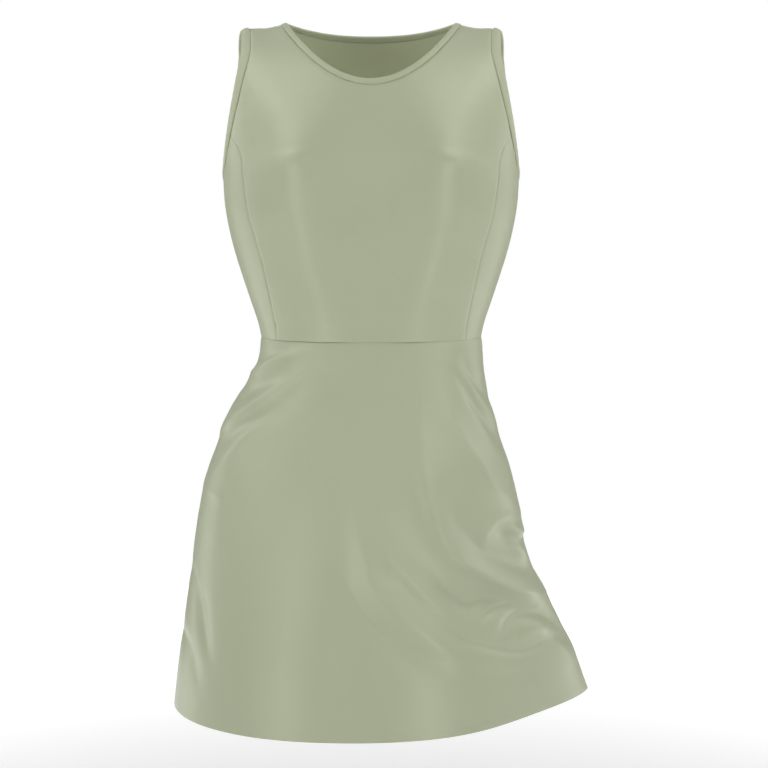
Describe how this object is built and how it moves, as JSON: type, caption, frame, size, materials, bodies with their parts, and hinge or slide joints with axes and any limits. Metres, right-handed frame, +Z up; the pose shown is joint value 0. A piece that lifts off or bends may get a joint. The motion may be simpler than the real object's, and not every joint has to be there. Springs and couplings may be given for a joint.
{
  "type": "sleeveless a-line mini dress",
  "caption": "Sleeveless round-neck A-line mini dress of smooth sage green stretch knit, in its worn shape with no wearer, with a flared skirt that swings to one side.",
  "frame": {"origin": "midway between the two neck points, at the underside of the shoulders, where a wearer holds the dress up", "axes": "+Z up, the front of the dress faces -Y, +X to the right as seen from the front"},
  "size_m": [0.4945, 0.3186, 0.8009],
  "materials": {
    "jersey": "smooth sage green stretch jersey with a soft sheen",
    "band": "the same jersey, folded double"
  },
  "bodies": {
    "root": {"front_panel": "jersey", "back_panel": "jersey", "side_panel_left": "jersey", "side_panel_right": "jersey", "skirt_front": "jersey", "skirt_back": "jersey", "neck_band": "band", "arm_band_left": "band", "arm_band_right": "band"}
  },
  "joints": []
}
